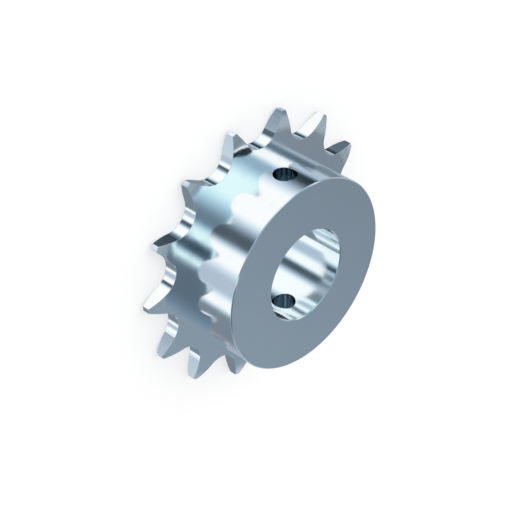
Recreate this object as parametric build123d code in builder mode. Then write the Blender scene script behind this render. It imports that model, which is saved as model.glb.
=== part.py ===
from build123d import *
from math import radians, sin, sqrt
import os

# A chain sprocket with a hub on one side, turned and cut from one piece of steel.
# Millimetres. The axis is Z, the flat back of the toothed plate lies on Z = 0 and the
# hub stands above it. One tooth gap is centred on +Y and the gap opposite on -Y.

# Toothed plate
chain_pitch = 12.7
tooth_count = 14
plate_thickness = 3.0
tip_diameter = 60.6
seat_radius = 4.4
seat_angle = 108.2

# Rounding of both tooth sides towards the tip, so that the chain's plates slip over
side_relief_depth = 0.72
side_relief_radius = 11.5

# Hub and bore
overall_length = 15.6
hub_diameter = 42.0
bore_diameter = 20.0
edge_break = 0.2

# Set-screw hole, one straight line through both walls of the hub, at its tapping size
screw_hole_diameter = 5.0
screw_hole_from_hub_face = 6.3

# Radii that follow from the sizes above
pitch_radius = chain_pitch / (2 * sin(radians(180 / tooth_count)))
tip_radius = tip_diameter / 2
hub_radius = hub_diameter / 2
bore_radius = bore_diameter / 2

# The side relief is an arc that leaves the flat side without a kink and is
# side_relief_depth deep at the tip
relief_height = sqrt(side_relief_radius**2 - (side_relief_radius - side_relief_depth) ** 2)
relief_start_radius = tip_radius - relief_height

# Each flank is as long as the tooth is high, which carries it past the tip circle
flank_length = tip_radius - pitch_radius + seat_radius

with BuildPart() as sprocket:
    # Turned blank: plate with relieved rim, hub and bore
    with BuildSketch(Plane.XZ):
        with BuildLine():
            back = Line((bore_radius, 0), (relief_start_radius, 0))
            back_relief = RadiusArc(back @ 1, (tip_radius, side_relief_depth), -side_relief_radius)
            rim = Line(back_relief @ 1, (tip_radius, plate_thickness - side_relief_depth))
            front_relief = RadiusArc(rim @ 1, (relief_start_radius, plate_thickness), -side_relief_radius)
            front = Line(front_relief @ 1, (hub_radius, plate_thickness))
            hub_wall = Line(front @ 1, (hub_radius, overall_length))
            hub_face = Line(hub_wall @ 1, (bore_radius, overall_length))
            Line(hub_face @ 1, back @ 0)
        make_face()
    revolve(axis=Axis.Z)

    # Broken edges at the hub's end and at both ends of the bore
    hub_end_edges = faces().sort_by(Axis.Z)[-1].edges()
    bore_back_edge = faces().sort_by(Axis.Z)[0].edges().sort_by(SortBy.RADIUS)[0]
    chamfer([*hub_end_edges, bore_back_edge], edge_break)

    # Tooth gap: a roller seat that runs out into two flat flanks, closed outside the tips
    with BuildSketch() as tooth_gap:
        with BuildLine():
            seat = CenterArc((0, pitch_radius), seat_radius, -90 - seat_angle / 2, seat_angle)
            right_flank = Line(seat @ 1, seat @ 1 + (seat % 1) * flank_length)
            left_flank = mirror(right_flank, about=Plane.YZ)
            ThreePointArc(right_flank @ 1, (0, tip_radius + seat_radius), left_flank @ 1)
        make_face()
    with BuildSketch():
        with PolarLocations(0, tooth_count):
            add(tooth_gap.sketch)
    extrude(amount=plate_thickness, mode=Mode.SUBTRACT)

    # Set-screw hole across the axis
    with BuildSketch(Plane.XZ):
        with Locations((0, overall_length - screw_hole_from_hub_face)):
            Circle(screw_hole_diameter / 2)
    extrude(amount=tip_radius, both=True, mode=Mode.SUBTRACT)

sprocket.part.label = "sprocket"
os.makedirs("parts", exist_ok=True)
export_step(sprocket.part, "parts/sprocket.step")
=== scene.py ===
import math

import bpy
from mathutils import Matrix, Vector

# Chain sprocket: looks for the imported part. Metres, in the part's own frame. The plate's
# flat back lies on Z = 0, the hub stands up along +Z and a tooth gap is centred on +Y.
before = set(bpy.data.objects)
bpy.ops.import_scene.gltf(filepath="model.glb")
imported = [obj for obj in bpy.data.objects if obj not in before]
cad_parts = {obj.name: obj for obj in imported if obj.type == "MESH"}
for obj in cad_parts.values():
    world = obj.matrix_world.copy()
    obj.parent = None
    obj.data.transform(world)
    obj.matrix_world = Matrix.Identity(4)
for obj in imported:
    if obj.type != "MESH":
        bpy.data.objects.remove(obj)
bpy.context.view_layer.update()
MM = 0.001

# Sizes of the part that the looks follow. A pair of radii is where a look sets in and where
# it is complete.
HUB_RADIUS = 21.0 * MM
PLATE_THICKNESS = 3.0 * MM
SCREW_HOLE_RADIUS = 2.5 * MM
SCREW_HOLE_AT = 9.3 * MM
BORE_RADII = (10.25 * MM, 10.15 * MM)
TOOTH_GAP_RADII = (23.9 * MM, 24.1 * MM)
SEAT_END_RADII = (24.5 * MM, 26.2 * MM)
FLANK_RADII = (25.8 * MM, 30.3 * MM)

# Steel: tones, roughness, and the scale and height of its detail
PLATING_TONES = ((0.945, 0.975, 0.987), (0.968, 0.986, 0.993))
MARK_TONE = (0.85, 0.89, 0.915)
# A faint blue tint painted into the colour inside the bore: a painted reflection
BORE_PAINTED_REFLECTION_TINT = (0.91, 0.977, 0.987)
# Darker colour inside the set-screw holes: painted shade of the recess
HOLE_PAINTED_SHADE = (0.50, 0.58, 0.62)
PLATING_ROUGHNESS = (0.10, 0.16)
LINE_ROUGHNESS = (-0.012, 0.016)
HOLE_SMOOTHER_BY = 0.06
RING_SCALE = 3200.0
CUT_LINE_SCALE = 2600.0
ALONG_CUT = (1.0, 1.0, 0.02)
WAVE_SCALE = 150.0
GRAIN_SCALE = 2400.0
MARK_SCALE = 320.0
LINE_HEIGHT = 0.6
GRAIN_HEIGHT = 0.15
DETAIL_STRENGTH = 0.10
DETAIL_DISTANCE = 0.02 * MM
SEAT_END_RISE = 0.135 * MM
FLANK_RISE = 0.087 * MM
EDGE_RADIUS = 0.12 * MM
EDGE_SAMPLES = 6
ROOT_SHARP_WITHIN = (0.15 * MM, 0.3 * MM)

# Tent of cards: radius, the step between two cards, the size of a face in degrees and the
# fewest faces along and up a card
TENT_RADIUS = 1.0
TENT_LAYER = 0.006
DEGREES_PER_FACE = 3.0
FEWEST_COLUMNS = 6
FEWEST_ROWS = 4
MIN_SOFT_EDGE = 0.01

# Elevations of a row of cards: from, to, soft edge below, soft edge above
LOW_ROW = (-88.0, -6.0, 0.0, 12.0)
HIGH_ROW = (30.0, 44.0, 6.0, 12.0)

# Tones of the cards
SLATE = (0.190, 0.240, 0.290)
DARK_SLATE = (0.102, 0.150, 0.200)
BRIGHT_SLATE = (0.370, 0.440, 0.540)
PALE_SLATE = (0.250, 0.315, 0.385)
SKY_SLATE = (0.350, 0.425, 0.490)
ZENITH_SLATE = (0.31, 0.40, 0.46)
MIST = (0.44, 0.535, 0.640)
HORIZON_MIST = (0.47, 0.52, 0.62)
WHITE = (1.0, 1.0, 1.0)
ICE = (0.80, 1.0, 1.0)
HORIZON_ICE = (0.72, 0.91, 0.97)
STEEL_BLUE = (0.285, 0.435, 0.545)
DEEP_BLUE = (0.130, 0.200, 0.255)
NIGHT = (0.032, 0.064, 0.088)
SHADE = (0.020, 0.035, 0.040)
GREY_SHADE = (0.070, 0.100, 0.125)

# How red, green and blue fade at a card's soft edge: between bright and dark lies blue
DARK_CARD_EDGE = (0.75, 1.0, 1.35)
BRIGHT_CARD_EDGE = (1.35, 1.0, 0.75)

# Cards: name, azimuths from and to, soft edge before and after, tone
LOW_CARDS = [
    ("slate", 227.0, 366.0, 11.0, 6.0, SLATE),
    ("bright_slate", 284.0, 298.0, 26.0, 20.0, BRIGHT_SLATE),
    ("mist_edge", 328.0, 336.0, 6.0, 12.0, MIST),
    ("mist_right", 13.0, 17.0, 12.0, 12.0, MIST),
    ("flag_right", 30.0, 38.0, 11.0, 34.0, SHADE),
    ("flag_left", 136.0, 143.0, 24.0, 12.0, GREY_SHADE),
    ("mist_left", 184.0, 197.0, 17.0, 12.0, MIST),
]
HIGH_CARDS = [
    ("sky_right", 332.0, 348.0, 10.0, 12.0, SKY_SLATE),
    ("dark_right", 2.0, 6.0, 16.0, 10.0, DARK_SLATE),
    ("ice_wide", 60.0, 134.0, 10.0, 5.0, ICE),
    ("white_right", 19.0, 47.0, 8.0, 8.0, WHITE),
    ("blue_right", 45.0, 51.0, 12.0, 27.0, STEEL_BLUE),
    ("blue_left", 134.0, 141.0, 34.0, 8.0, DEEP_BLUE),
    ("ice_middle", 153.0, 159.0, 12.0, 5.0, ICE),
    ("night", 167.0, 174.0, 6.0, 7.0, NIGHT),
    ("ice_thin", 183.0, 186.0, 6.0, 5.0, ICE),
    ("dark_left", 196.0, 228.0, 5.0, 56.0, DARK_SLATE),
]

# Roof: the azimuth of its seam, its lower edge, and where its tones change
ROOF_SEAM = 45.0
ROOF_EAVES = 6.0
ROOF_SOFT = 12.0
ROOF_TOP = 90.0
ROOF_DARKENS = (306.0, 324.0)
ROOF_MISTS_OVER = (28.0, 13.0)
ROOF_ZENITH = (56.0, 72.0)
ROOF_ICE_ACROSS = (60.0, 196.0, 12.0, 12.0)
ROOF_ICE_UPWARD = (19.0, 27.0, 6.0, 4.0)

# Floor, world and lamp
FLOOR_RADIUS = 1.6
FLOOR_SIDES = 96
FLOOR_HEIGHT = -0.02 * MM
FLOOR_COLOR = (0.95, 0.95, 0.95, 1.0)
FLOOR_WHITE_SHARE = 0.45
PLAIN_WHITE = (1.0, 1.0, 1.0, 1.0)
WORLD_LIGHT = 0.95
LAMP_AT = (0.25, 0.45, 0.9)
LAMP_SIZE = 0.9
LAMP_WATTS = 2.2

# Camera: the photograph's view, worked out from the hub's rim, the bore and the tooth tips
CAMERA_AT = Vector((-0.16997, 0.16749, 0.17125))
CAMERA_RIGHT = Vector((0.70711, 0.0, 0.70711))
CAMERA_UP = Vector((0.40825, 0.81650, -0.40825))
CAMERA_BACK = Vector((-0.57735, 0.57735, 0.57735))
CAMERA_LENS = 100.31
CAMERA_SENSOR = 36.0
CAMERA_CLIP = (0.01, 20.0)

# The first input and the output that a Mix node uses for each kind of data
MIX_SOCKETS = {"FLOAT": (2, 0), "VECTOR": (4, 1), "RGBA": (6, 2)}


# Node helpers
def add_node(tree, kind, inputs=None, **settings):
    """A node with its settings, and its inputs set to numbers or linked to sockets."""
    node = tree.nodes.new(kind)
    for name, value in settings.items():
        setattr(node, name, value)
    for name, value in (inputs or {}).items():
        if isinstance(value, bpy.types.NodeSocket):
            tree.links.new(value, node.inputs[name])
        else:
            node.inputs[name].default_value = value
    return node


def math_node(tree, operation, a, b=0.0):
    return add_node(tree, "ShaderNodeMath", {0: a, 1: b}, operation=operation).outputs[0]


def vector_math(tree, operation, a, b):
    node = add_node(tree, "ShaderNodeVectorMath", {0: a, 1: b}, operation=operation)
    return node.outputs["Value" if operation == "DISTANCE" else "Vector"]


def sum_of_squares(tree, a, b):
    squares = [math_node(tree, "MULTIPLY", value, value) for value in (a, b)]
    return math_node(tree, "ADD", *squares)


def combine(tree, **inputs):
    return add_node(tree, "ShaderNodeCombineXYZ", inputs).outputs[0]


def map_range(tree, value, source, target, kind="LINEAR"):
    inputs = {
        "Value": value,
        "From Min": source[0],
        "From Max": source[1],
        "To Min": target[0],
        "To Max": target[1],
    }
    node = add_node(tree, "ShaderNodeMapRange", inputs, interpolation_type=kind)
    return node.outputs["Result"]


def noise(tree, vector, scale, detail, roughness):
    inputs = {"Vector": vector, "Scale": scale, "Detail": detail, "Roughness": roughness}
    return add_node(tree, "ShaderNodeTexNoise", inputs).outputs["Fac"]


def mix(tree, kind, factor, a, b):
    first, output = MIX_SOCKETS[kind]
    if kind == "RGBA":
        a, b = ((*value, 1.0) if isinstance(value, tuple) else value for value in (a, b))
    inputs = {"Factor": factor, first: a, first + 1: b}
    return add_node(tree, "ShaderNodeMix", inputs, data_type=kind).outputs[output]


def new_material(name):
    material = bpy.data.materials.new(name)
    material.use_nodes = True
    material.node_tree.nodes.clear()
    return material, material.node_tree


def finish_material(tree, shader):
    output = tree.nodes.new("ShaderNodeOutputMaterial")
    tree.links.new(shader, output.inputs["Surface"])


def link_to_scene(obj):
    bpy.context.scene.collection.objects.link(obj)


# Steel: bright plated finish over turned faces and cut tooth flanks
def steel_material():
    material, tree = new_material("bright_plated_steel")
    coords = tree.nodes.new("ShaderNodeTexCoord")
    place = coords.outputs["Object"]
    x, y, z = add_node(tree, "ShaderNodeSeparateXYZ", {0: place}).outputs
    normal = add_node(tree, "ShaderNodeSeparateXYZ", {0: coords.outputs["Normal"]})
    facing_axis = math_node(tree, "ABSOLUTE", normal.outputs["Z"])
    radius = math_node(tree, "SQRT", sum_of_squares(tree, x, y))

    # 1 in the cut tooth gaps, 0 on surfaces that the lathe turned
    on_rim = map_range(tree, radius, TOOTH_GAP_RADII, (0.0, 1.0))
    on_wall = map_range(tree, facing_axis, (0.15, 0.02), (0.0, 1.0))
    cut = math_node(tree, "MULTIPLY", on_rim, on_wall)

    # Turning lines: rings on the flat faces and round the hub and bore
    flat = map_range(tree, facing_axis, (0.2, 0.8), (0.0, 1.0))
    feed = mix(tree, "FLOAT", flat, z, radius)
    rings = noise(tree, combine(tree, X=feed), RING_SCALE, 3.0, 0.6)
    # Cut lines: straight across the plate's thickness
    across = vector_math(tree, "MULTIPLY", place, ALONG_CUT)
    cut_lines = noise(tree, across, CUT_LINE_SCALE, 3.0, 0.6)
    lines = mix(tree, "FLOAT", cut, rings, cut_lines)

    # Plating: slow waves, a fine grain and faint handling marks
    waves = noise(tree, place, WAVE_SCALE, 2.0, 0.5)
    grain = noise(tree, place, GRAIN_SCALE, 2.0, 0.6)
    marks = noise(tree, place, MARK_SCALE, 5.0, 0.65)
    wave_share = map_range(tree, waves, (0.35, 0.65), (0.0, 1.0))
    tone = mix(tree, "RGBA", wave_share, *PLATING_TONES)
    mark_share = map_range(tree, marks, (0.52, 0.75), (0.0, 0.35))
    tone = mix(tree, "RGBA", mark_share, tone, MARK_TONE)
    plating_roughness = map_range(tree, marks, (0.4, 0.75), PLATING_ROUGHNESS)
    line_roughness = map_range(tree, lines, (0.3, 0.7), LINE_ROUGHNESS)
    roughness = math_node(tree, "ADD", plating_roughness, line_roughness)

    # Painted reflection: a faint blue tint is painted into the plating's colour inside the bore
    in_bore = map_range(tree, radius, BORE_RADII, (0.0, 1.0))
    tone = mix(tree, "RGBA", in_bore, tone, BORE_PAINTED_REFLECTION_TINT)

    # Inside the set-screw holes: painted shade, a darker colour where shade falls in the recess,
    # and a lower roughness for a finer finish
    hole_x = math_node(tree, "DIVIDE", x, SCREW_HOLE_RADIUS)
    above_hole = math_node(tree, "SUBTRACT", z, SCREW_HOLE_AT)
    hole_z = math_node(tree, "DIVIDE", above_hole, SCREW_HOLE_RADIUS)
    from_hole = sum_of_squares(tree, hole_x, hole_z)
    in_hole = map_range(tree, from_hole, (1.03, 1.01), (0.0, 1.0))
    tone = mix(tree, "RGBA", in_hole, tone, HOLE_PAINTED_SHADE)
    smoother = math_node(tree, "MULTIPLY", in_hole, HOLE_SMOOTHER_BY)
    roughness = math_node(tree, "SUBTRACT", roughness, smoother)

    # Softened edges, but the corner where the hub meets the plate is sharp
    edge = add_node(tree, "ShaderNodeBevel", {"Radius": EDGE_RADIUS}, samples=EDGE_SAMPLES)
    root = (HUB_RADIUS, PLATE_THICKNESS, 0.0)
    from_root = vector_math(tree, "DISTANCE", combine(tree, X=radius, Y=z), root)
    away = map_range(tree, from_root, ROOT_SHARP_WITHIN, (0.0, 1.0))
    flat_normal = tree.nodes.new("ShaderNodeNewGeometry").outputs["Normal"]
    edge_normal = mix(tree, "VECTOR", away, flat_normal, edge.outputs[0])

    # Tooth gaps: the reflections bend a little faster at the seat's ends than on a true arc,
    # and the flanks' fit a face that leans one degree further into the gap
    seat_ends = map_range(tree, radius, SEAT_END_RADII, (0.0, SEAT_END_RISE), "SMOOTHSTEP")
    flanks = map_range(tree, radius, FLANK_RADII, (0.0, FLANK_RISE))
    rise = math_node(tree, "MULTIPLY", math_node(tree, "ADD", seat_ends, flanks), cut)
    gap_inputs = {"Strength": 1.0, "Distance": 1.0, "Height": rise, "Normal": edge_normal}
    gap_bump = add_node(tree, "ShaderNodeBump", gap_inputs)

    # Relief of the lines and the grain
    line_height = math_node(tree, "MULTIPLY", lines, LINE_HEIGHT)
    grain_height = math_node(tree, "MULTIPLY", grain, GRAIN_HEIGHT)
    detail_inputs = {
        "Strength": DETAIL_STRENGTH,
        "Distance": DETAIL_DISTANCE,
        "Height": math_node(tree, "ADD", line_height, grain_height),
        "Normal": gap_bump.outputs[0],
    }
    detail_bump = add_node(tree, "ShaderNodeBump", detail_inputs)

    shader_inputs = {
        "Base Color": tone,
        "Metallic": 1.0,
        "Roughness": roughness,
        "Normal": detail_bump.outputs[0],
    }
    shader = add_node(tree, "ShaderNodeBsdfPrincipled", shader_inputs)
    finish_material(tree, shader.outputs[0])
    return material


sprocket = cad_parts["sprocket"]
steel = steel_material()
for slot in sprocket.material_slots:
    slot.material = steel


# Studio: a tent of cards that the polished metal mirrors. They light nothing and only
# reflections see them; where no card stands the metal mirrors the white surroundings. A card
# runs round the part from one azimuth to another, with a soft edge on either side, all in
# degrees. The low row is what the hub, the bore and the tooth flanks mirror. The roof and the
# high row are what flat faces mirror, and what the hub shows again by way of the plate.
def soft_band(tree, value, first, last, soft_before, soft_after):
    """1 between first and last, falling to 0 over the soft edges."""
    starts = (first - max(soft_before, MIN_SOFT_EDGE), first)
    ends = (last, last + max(soft_after, MIN_SOFT_EDGE))
    rise = map_range(tree, value, starts, (0.0, 1.0), "SMOOTHSTEP")
    fall = map_range(tree, value, ends, (1.0, 0.0), "SMOOTHSTEP")
    return math_node(tree, "MULTIPLY", rise, fall)


def card_mesh(name, radius, azimuths, elevations):
    """A piece of a sphere. Its UV map holds each place's azimuth and elevation in degrees."""
    wide, high = azimuths[1] - azimuths[0], elevations[1] - elevations[0]
    columns = max(FEWEST_COLUMNS, round(wide / DEGREES_PER_FACE))
    rows = max(FEWEST_ROWS, round(high / DEGREES_PER_FACE))
    angles = [
        (azimuths[0] + wide * i / columns, elevations[0] + high * j / rows)
        for i in range(columns + 1)
        for j in range(rows + 1)
    ]
    verts = []
    for azimuth, elevation in angles:
        azimuth, elevation = math.radians(azimuth), math.radians(elevation)
        out, z = radius * math.cos(elevation), radius * math.sin(elevation)
        verts.append((out * math.cos(azimuth), out * math.sin(azimuth), z))
    faces = []
    for i in range(columns):
        for j in range(rows):
            here, beside = i * (rows + 1) + j, (i + 1) * (rows + 1) + j
            faces.append((here, beside, beside + 1, here + 1))
    mesh = bpy.data.meshes.new(name)
    mesh.from_pydata(verts, [], faces)
    uv = mesh.uv_layers.new(name="angles")
    for loop in mesh.loops:
        uv.data[loop.index].uv = angles[loop.vertex_index]
    return mesh


def card_material(name, make_shader):
    """Glows where the card covers, and lets the rest through, channel by channel."""
    material, tree = new_material(name)
    coords = tree.nodes.new("ShaderNodeTexCoord")
    places = add_node(tree, "ShaderNodeSeparateXYZ", {0: coords.outputs["UV"]})
    color, cover = make_shader(tree, places.outputs["X"], places.outputs["Y"])
    shown = vector_math(tree, "MULTIPLY", color, cover)
    glow = add_node(tree, "ShaderNodeEmission", {"Color": shown, "Strength": 1.0})
    rest = vector_math(tree, "SUBTRACT", WHITE, cover)
    clear = add_node(tree, "ShaderNodeBsdfTransparent", {"Color": rest})
    added = add_node(tree, "ShaderNodeAddShader", {0: glow.outputs[0], 1: clear.outputs[0]})
    finish_material(tree, added.outputs[0])
    return material


def add_card(layer, name, azimuths, elevations, make_shader):
    mesh = card_mesh(name, TENT_RADIUS - layer * TENT_LAYER, azimuths, elevations)
    mesh.materials.append(card_material(name, make_shader))
    card = bpy.data.objects.new(name, mesh)
    link_to_scene(card)
    card.visible_camera = False
    card.visible_diffuse = False
    card.visible_transmission = False
    card.visible_volume_scatter = False
    card.visible_shadow = False


def row_card(layer, row, name, first, last, soft_before, soft_after, color):
    low, high, soft_low, soft_high = row
    edge = BRIGHT_CARD_EDGE if color in (WHITE, ICE) else DARK_CARD_EDGE

    def shader(tree, azimuth, elevation):
        across = soft_band(tree, azimuth, first, last, soft_before, soft_after)
        upward = soft_band(tree, elevation, low, high, soft_low, soft_high)
        cover = math_node(tree, "MULTIPLY", across, upward)
        fades = {axis: math_node(tree, "POWER", cover, power) for axis, power in zip("XYZ", edge)}
        return color, combine(tree, **fades)

    azimuths = (first - soft_before, last + soft_after)
    elevations = (low - soft_low, high + soft_high)
    add_card(layer, "card_" + name, azimuths, elevations, shader)


def roof_card(layer):
    """Slate over the part, darker towards the camera's right, as the flat faces show it."""
    def shader(tree, azimuth, elevation):
        darker = map_range(tree, azimuth, ROOF_DARKENS, (0.0, 1.0))
        color = mix(tree, "RGBA", darker, PALE_SLATE, SLATE)
        misty = map_range(tree, elevation, ROOF_MISTS_OVER, (0.0, 1.0))
        color = mix(tree, "RGBA", misty, color, HORIZON_MIST)
        ice_across = soft_band(tree, azimuth, *ROOF_ICE_ACROSS)
        ice_upward = soft_band(tree, elevation, *ROOF_ICE_UPWARD)
        icy = math_node(tree, "MULTIPLY", ice_across, ice_upward)
        color = mix(tree, "RGBA", icy, color, HORIZON_ICE)
        near_zenith = map_range(tree, elevation, ROOF_ZENITH, (0.0, 1.0))
        color = mix(tree, "RGBA", near_zenith, color, ZENITH_SLATE)
        cover = soft_band(tree, elevation, ROOF_EAVES, ROOF_TOP, ROOF_SOFT, 0.0)
        return color, combine(tree, X=cover, Y=cover, Z=cover)

    azimuths = (ROOF_SEAM, ROOF_SEAM + 360.0)
    add_card(layer, "card_roof", azimuths, (ROOF_EAVES - ROOF_SOFT, ROOF_TOP), shader)


for layer, card in enumerate(LOW_CARDS):
    row_card(layer, LOW_ROW, *card)
roof_card(len(LOW_CARDS))
for layer, card in enumerate(HIGH_CARDS, len(LOW_CARDS) + 1):
    row_card(layer, HIGH_ROW, *card)


# Floor: pale, white to the camera where no shadow falls
def floor_material():
    material, tree = new_material("pale_floor")
    lit = add_node(tree, "ShaderNodeBsdfDiffuse", {"Color": FLOOR_COLOR})
    white = add_node(tree, "ShaderNodeEmission", {"Color": PLAIN_WHITE, "Strength": 1.0})
    path = tree.nodes.new("ShaderNodeLightPath")
    share = math_node(tree, "MULTIPLY", path.outputs["Is Camera Ray"], FLOOR_WHITE_SHARE)
    mix_inputs = {0: share, 1: lit.outputs[0], 2: white.outputs[0]}
    mixed = add_node(tree, "ShaderNodeMixShader", mix_inputs)
    finish_material(tree, mixed.outputs[0])
    return material


floor_ring = []
for i in range(FLOOR_SIDES):
    angle = math.tau * i / FLOOR_SIDES
    floor_x, floor_y = FLOOR_RADIUS * math.cos(angle), FLOOR_RADIUS * math.sin(angle)
    floor_ring.append((floor_x, floor_y, FLOOR_HEIGHT))
floor_mesh = bpy.data.meshes.new("floor")
floor_mesh.from_pydata(floor_ring, [], [tuple(range(FLOOR_SIDES))])
floor_mesh.materials.append(floor_material())
floor = bpy.data.objects.new("floor", floor_mesh)
link_to_scene(floor)
floor.visible_glossy = False

# World: white to the camera and in reflections, soft and level as light
world = bpy.data.worlds.new("studio")
bpy.context.scene.world = world
world.use_nodes = True
world_tree = world.node_tree
world_tree.nodes.clear()
rays = world_tree.nodes.new("ShaderNodeLightPath").outputs
seen = math_node(world_tree, "MAXIMUM", rays["Is Camera Ray"], rays["Is Glossy Ray"])
seen = math_node(world_tree, "MAXIMUM", seen, rays["Is Transmission Ray"])
strength = map_range(world_tree, seen, (0.0, 1.0), (WORLD_LIGHT, 1.0))
background_inputs = {"Color": PLAIN_WHITE, "Strength": strength}
background = add_node(world_tree, "ShaderNodeBackground", background_inputs)
world_output = world_tree.nodes.new("ShaderNodeOutputWorld")
world_tree.links.new(background.outputs[0], world_output.inputs["Surface"])

# One large soft lamp overhead gives the floor its soft shadow
lamp_data = bpy.data.lights.new("softbox", "AREA")
lamp_data.shape = "DISK"
lamp_data.size = LAMP_SIZE
lamp_data.energy = LAMP_WATTS
lamp = bpy.data.objects.new("softbox", lamp_data)
lamp.location = LAMP_AT
lamp.rotation_euler = Vector(LAMP_AT).to_track_quat("Z", "Y").to_euler()
lamp.visible_glossy = False
link_to_scene(lamp)

# Camera
camera_data = bpy.data.cameras.new("camera")
camera_data.lens = CAMERA_LENS
camera_data.sensor_width = CAMERA_SENSOR
camera_data.clip_start, camera_data.clip_end = CAMERA_CLIP
camera = bpy.data.objects.new("camera", camera_data)
rotation = Matrix((CAMERA_RIGHT, CAMERA_UP, CAMERA_BACK)).transposed()
camera.matrix_world = Matrix.Translation(CAMERA_AT) @ rotation.to_4x4()
link_to_scene(camera)
bpy.context.scene.camera = camera
bpy.context.scene.view_settings.view_transform = "Standard"
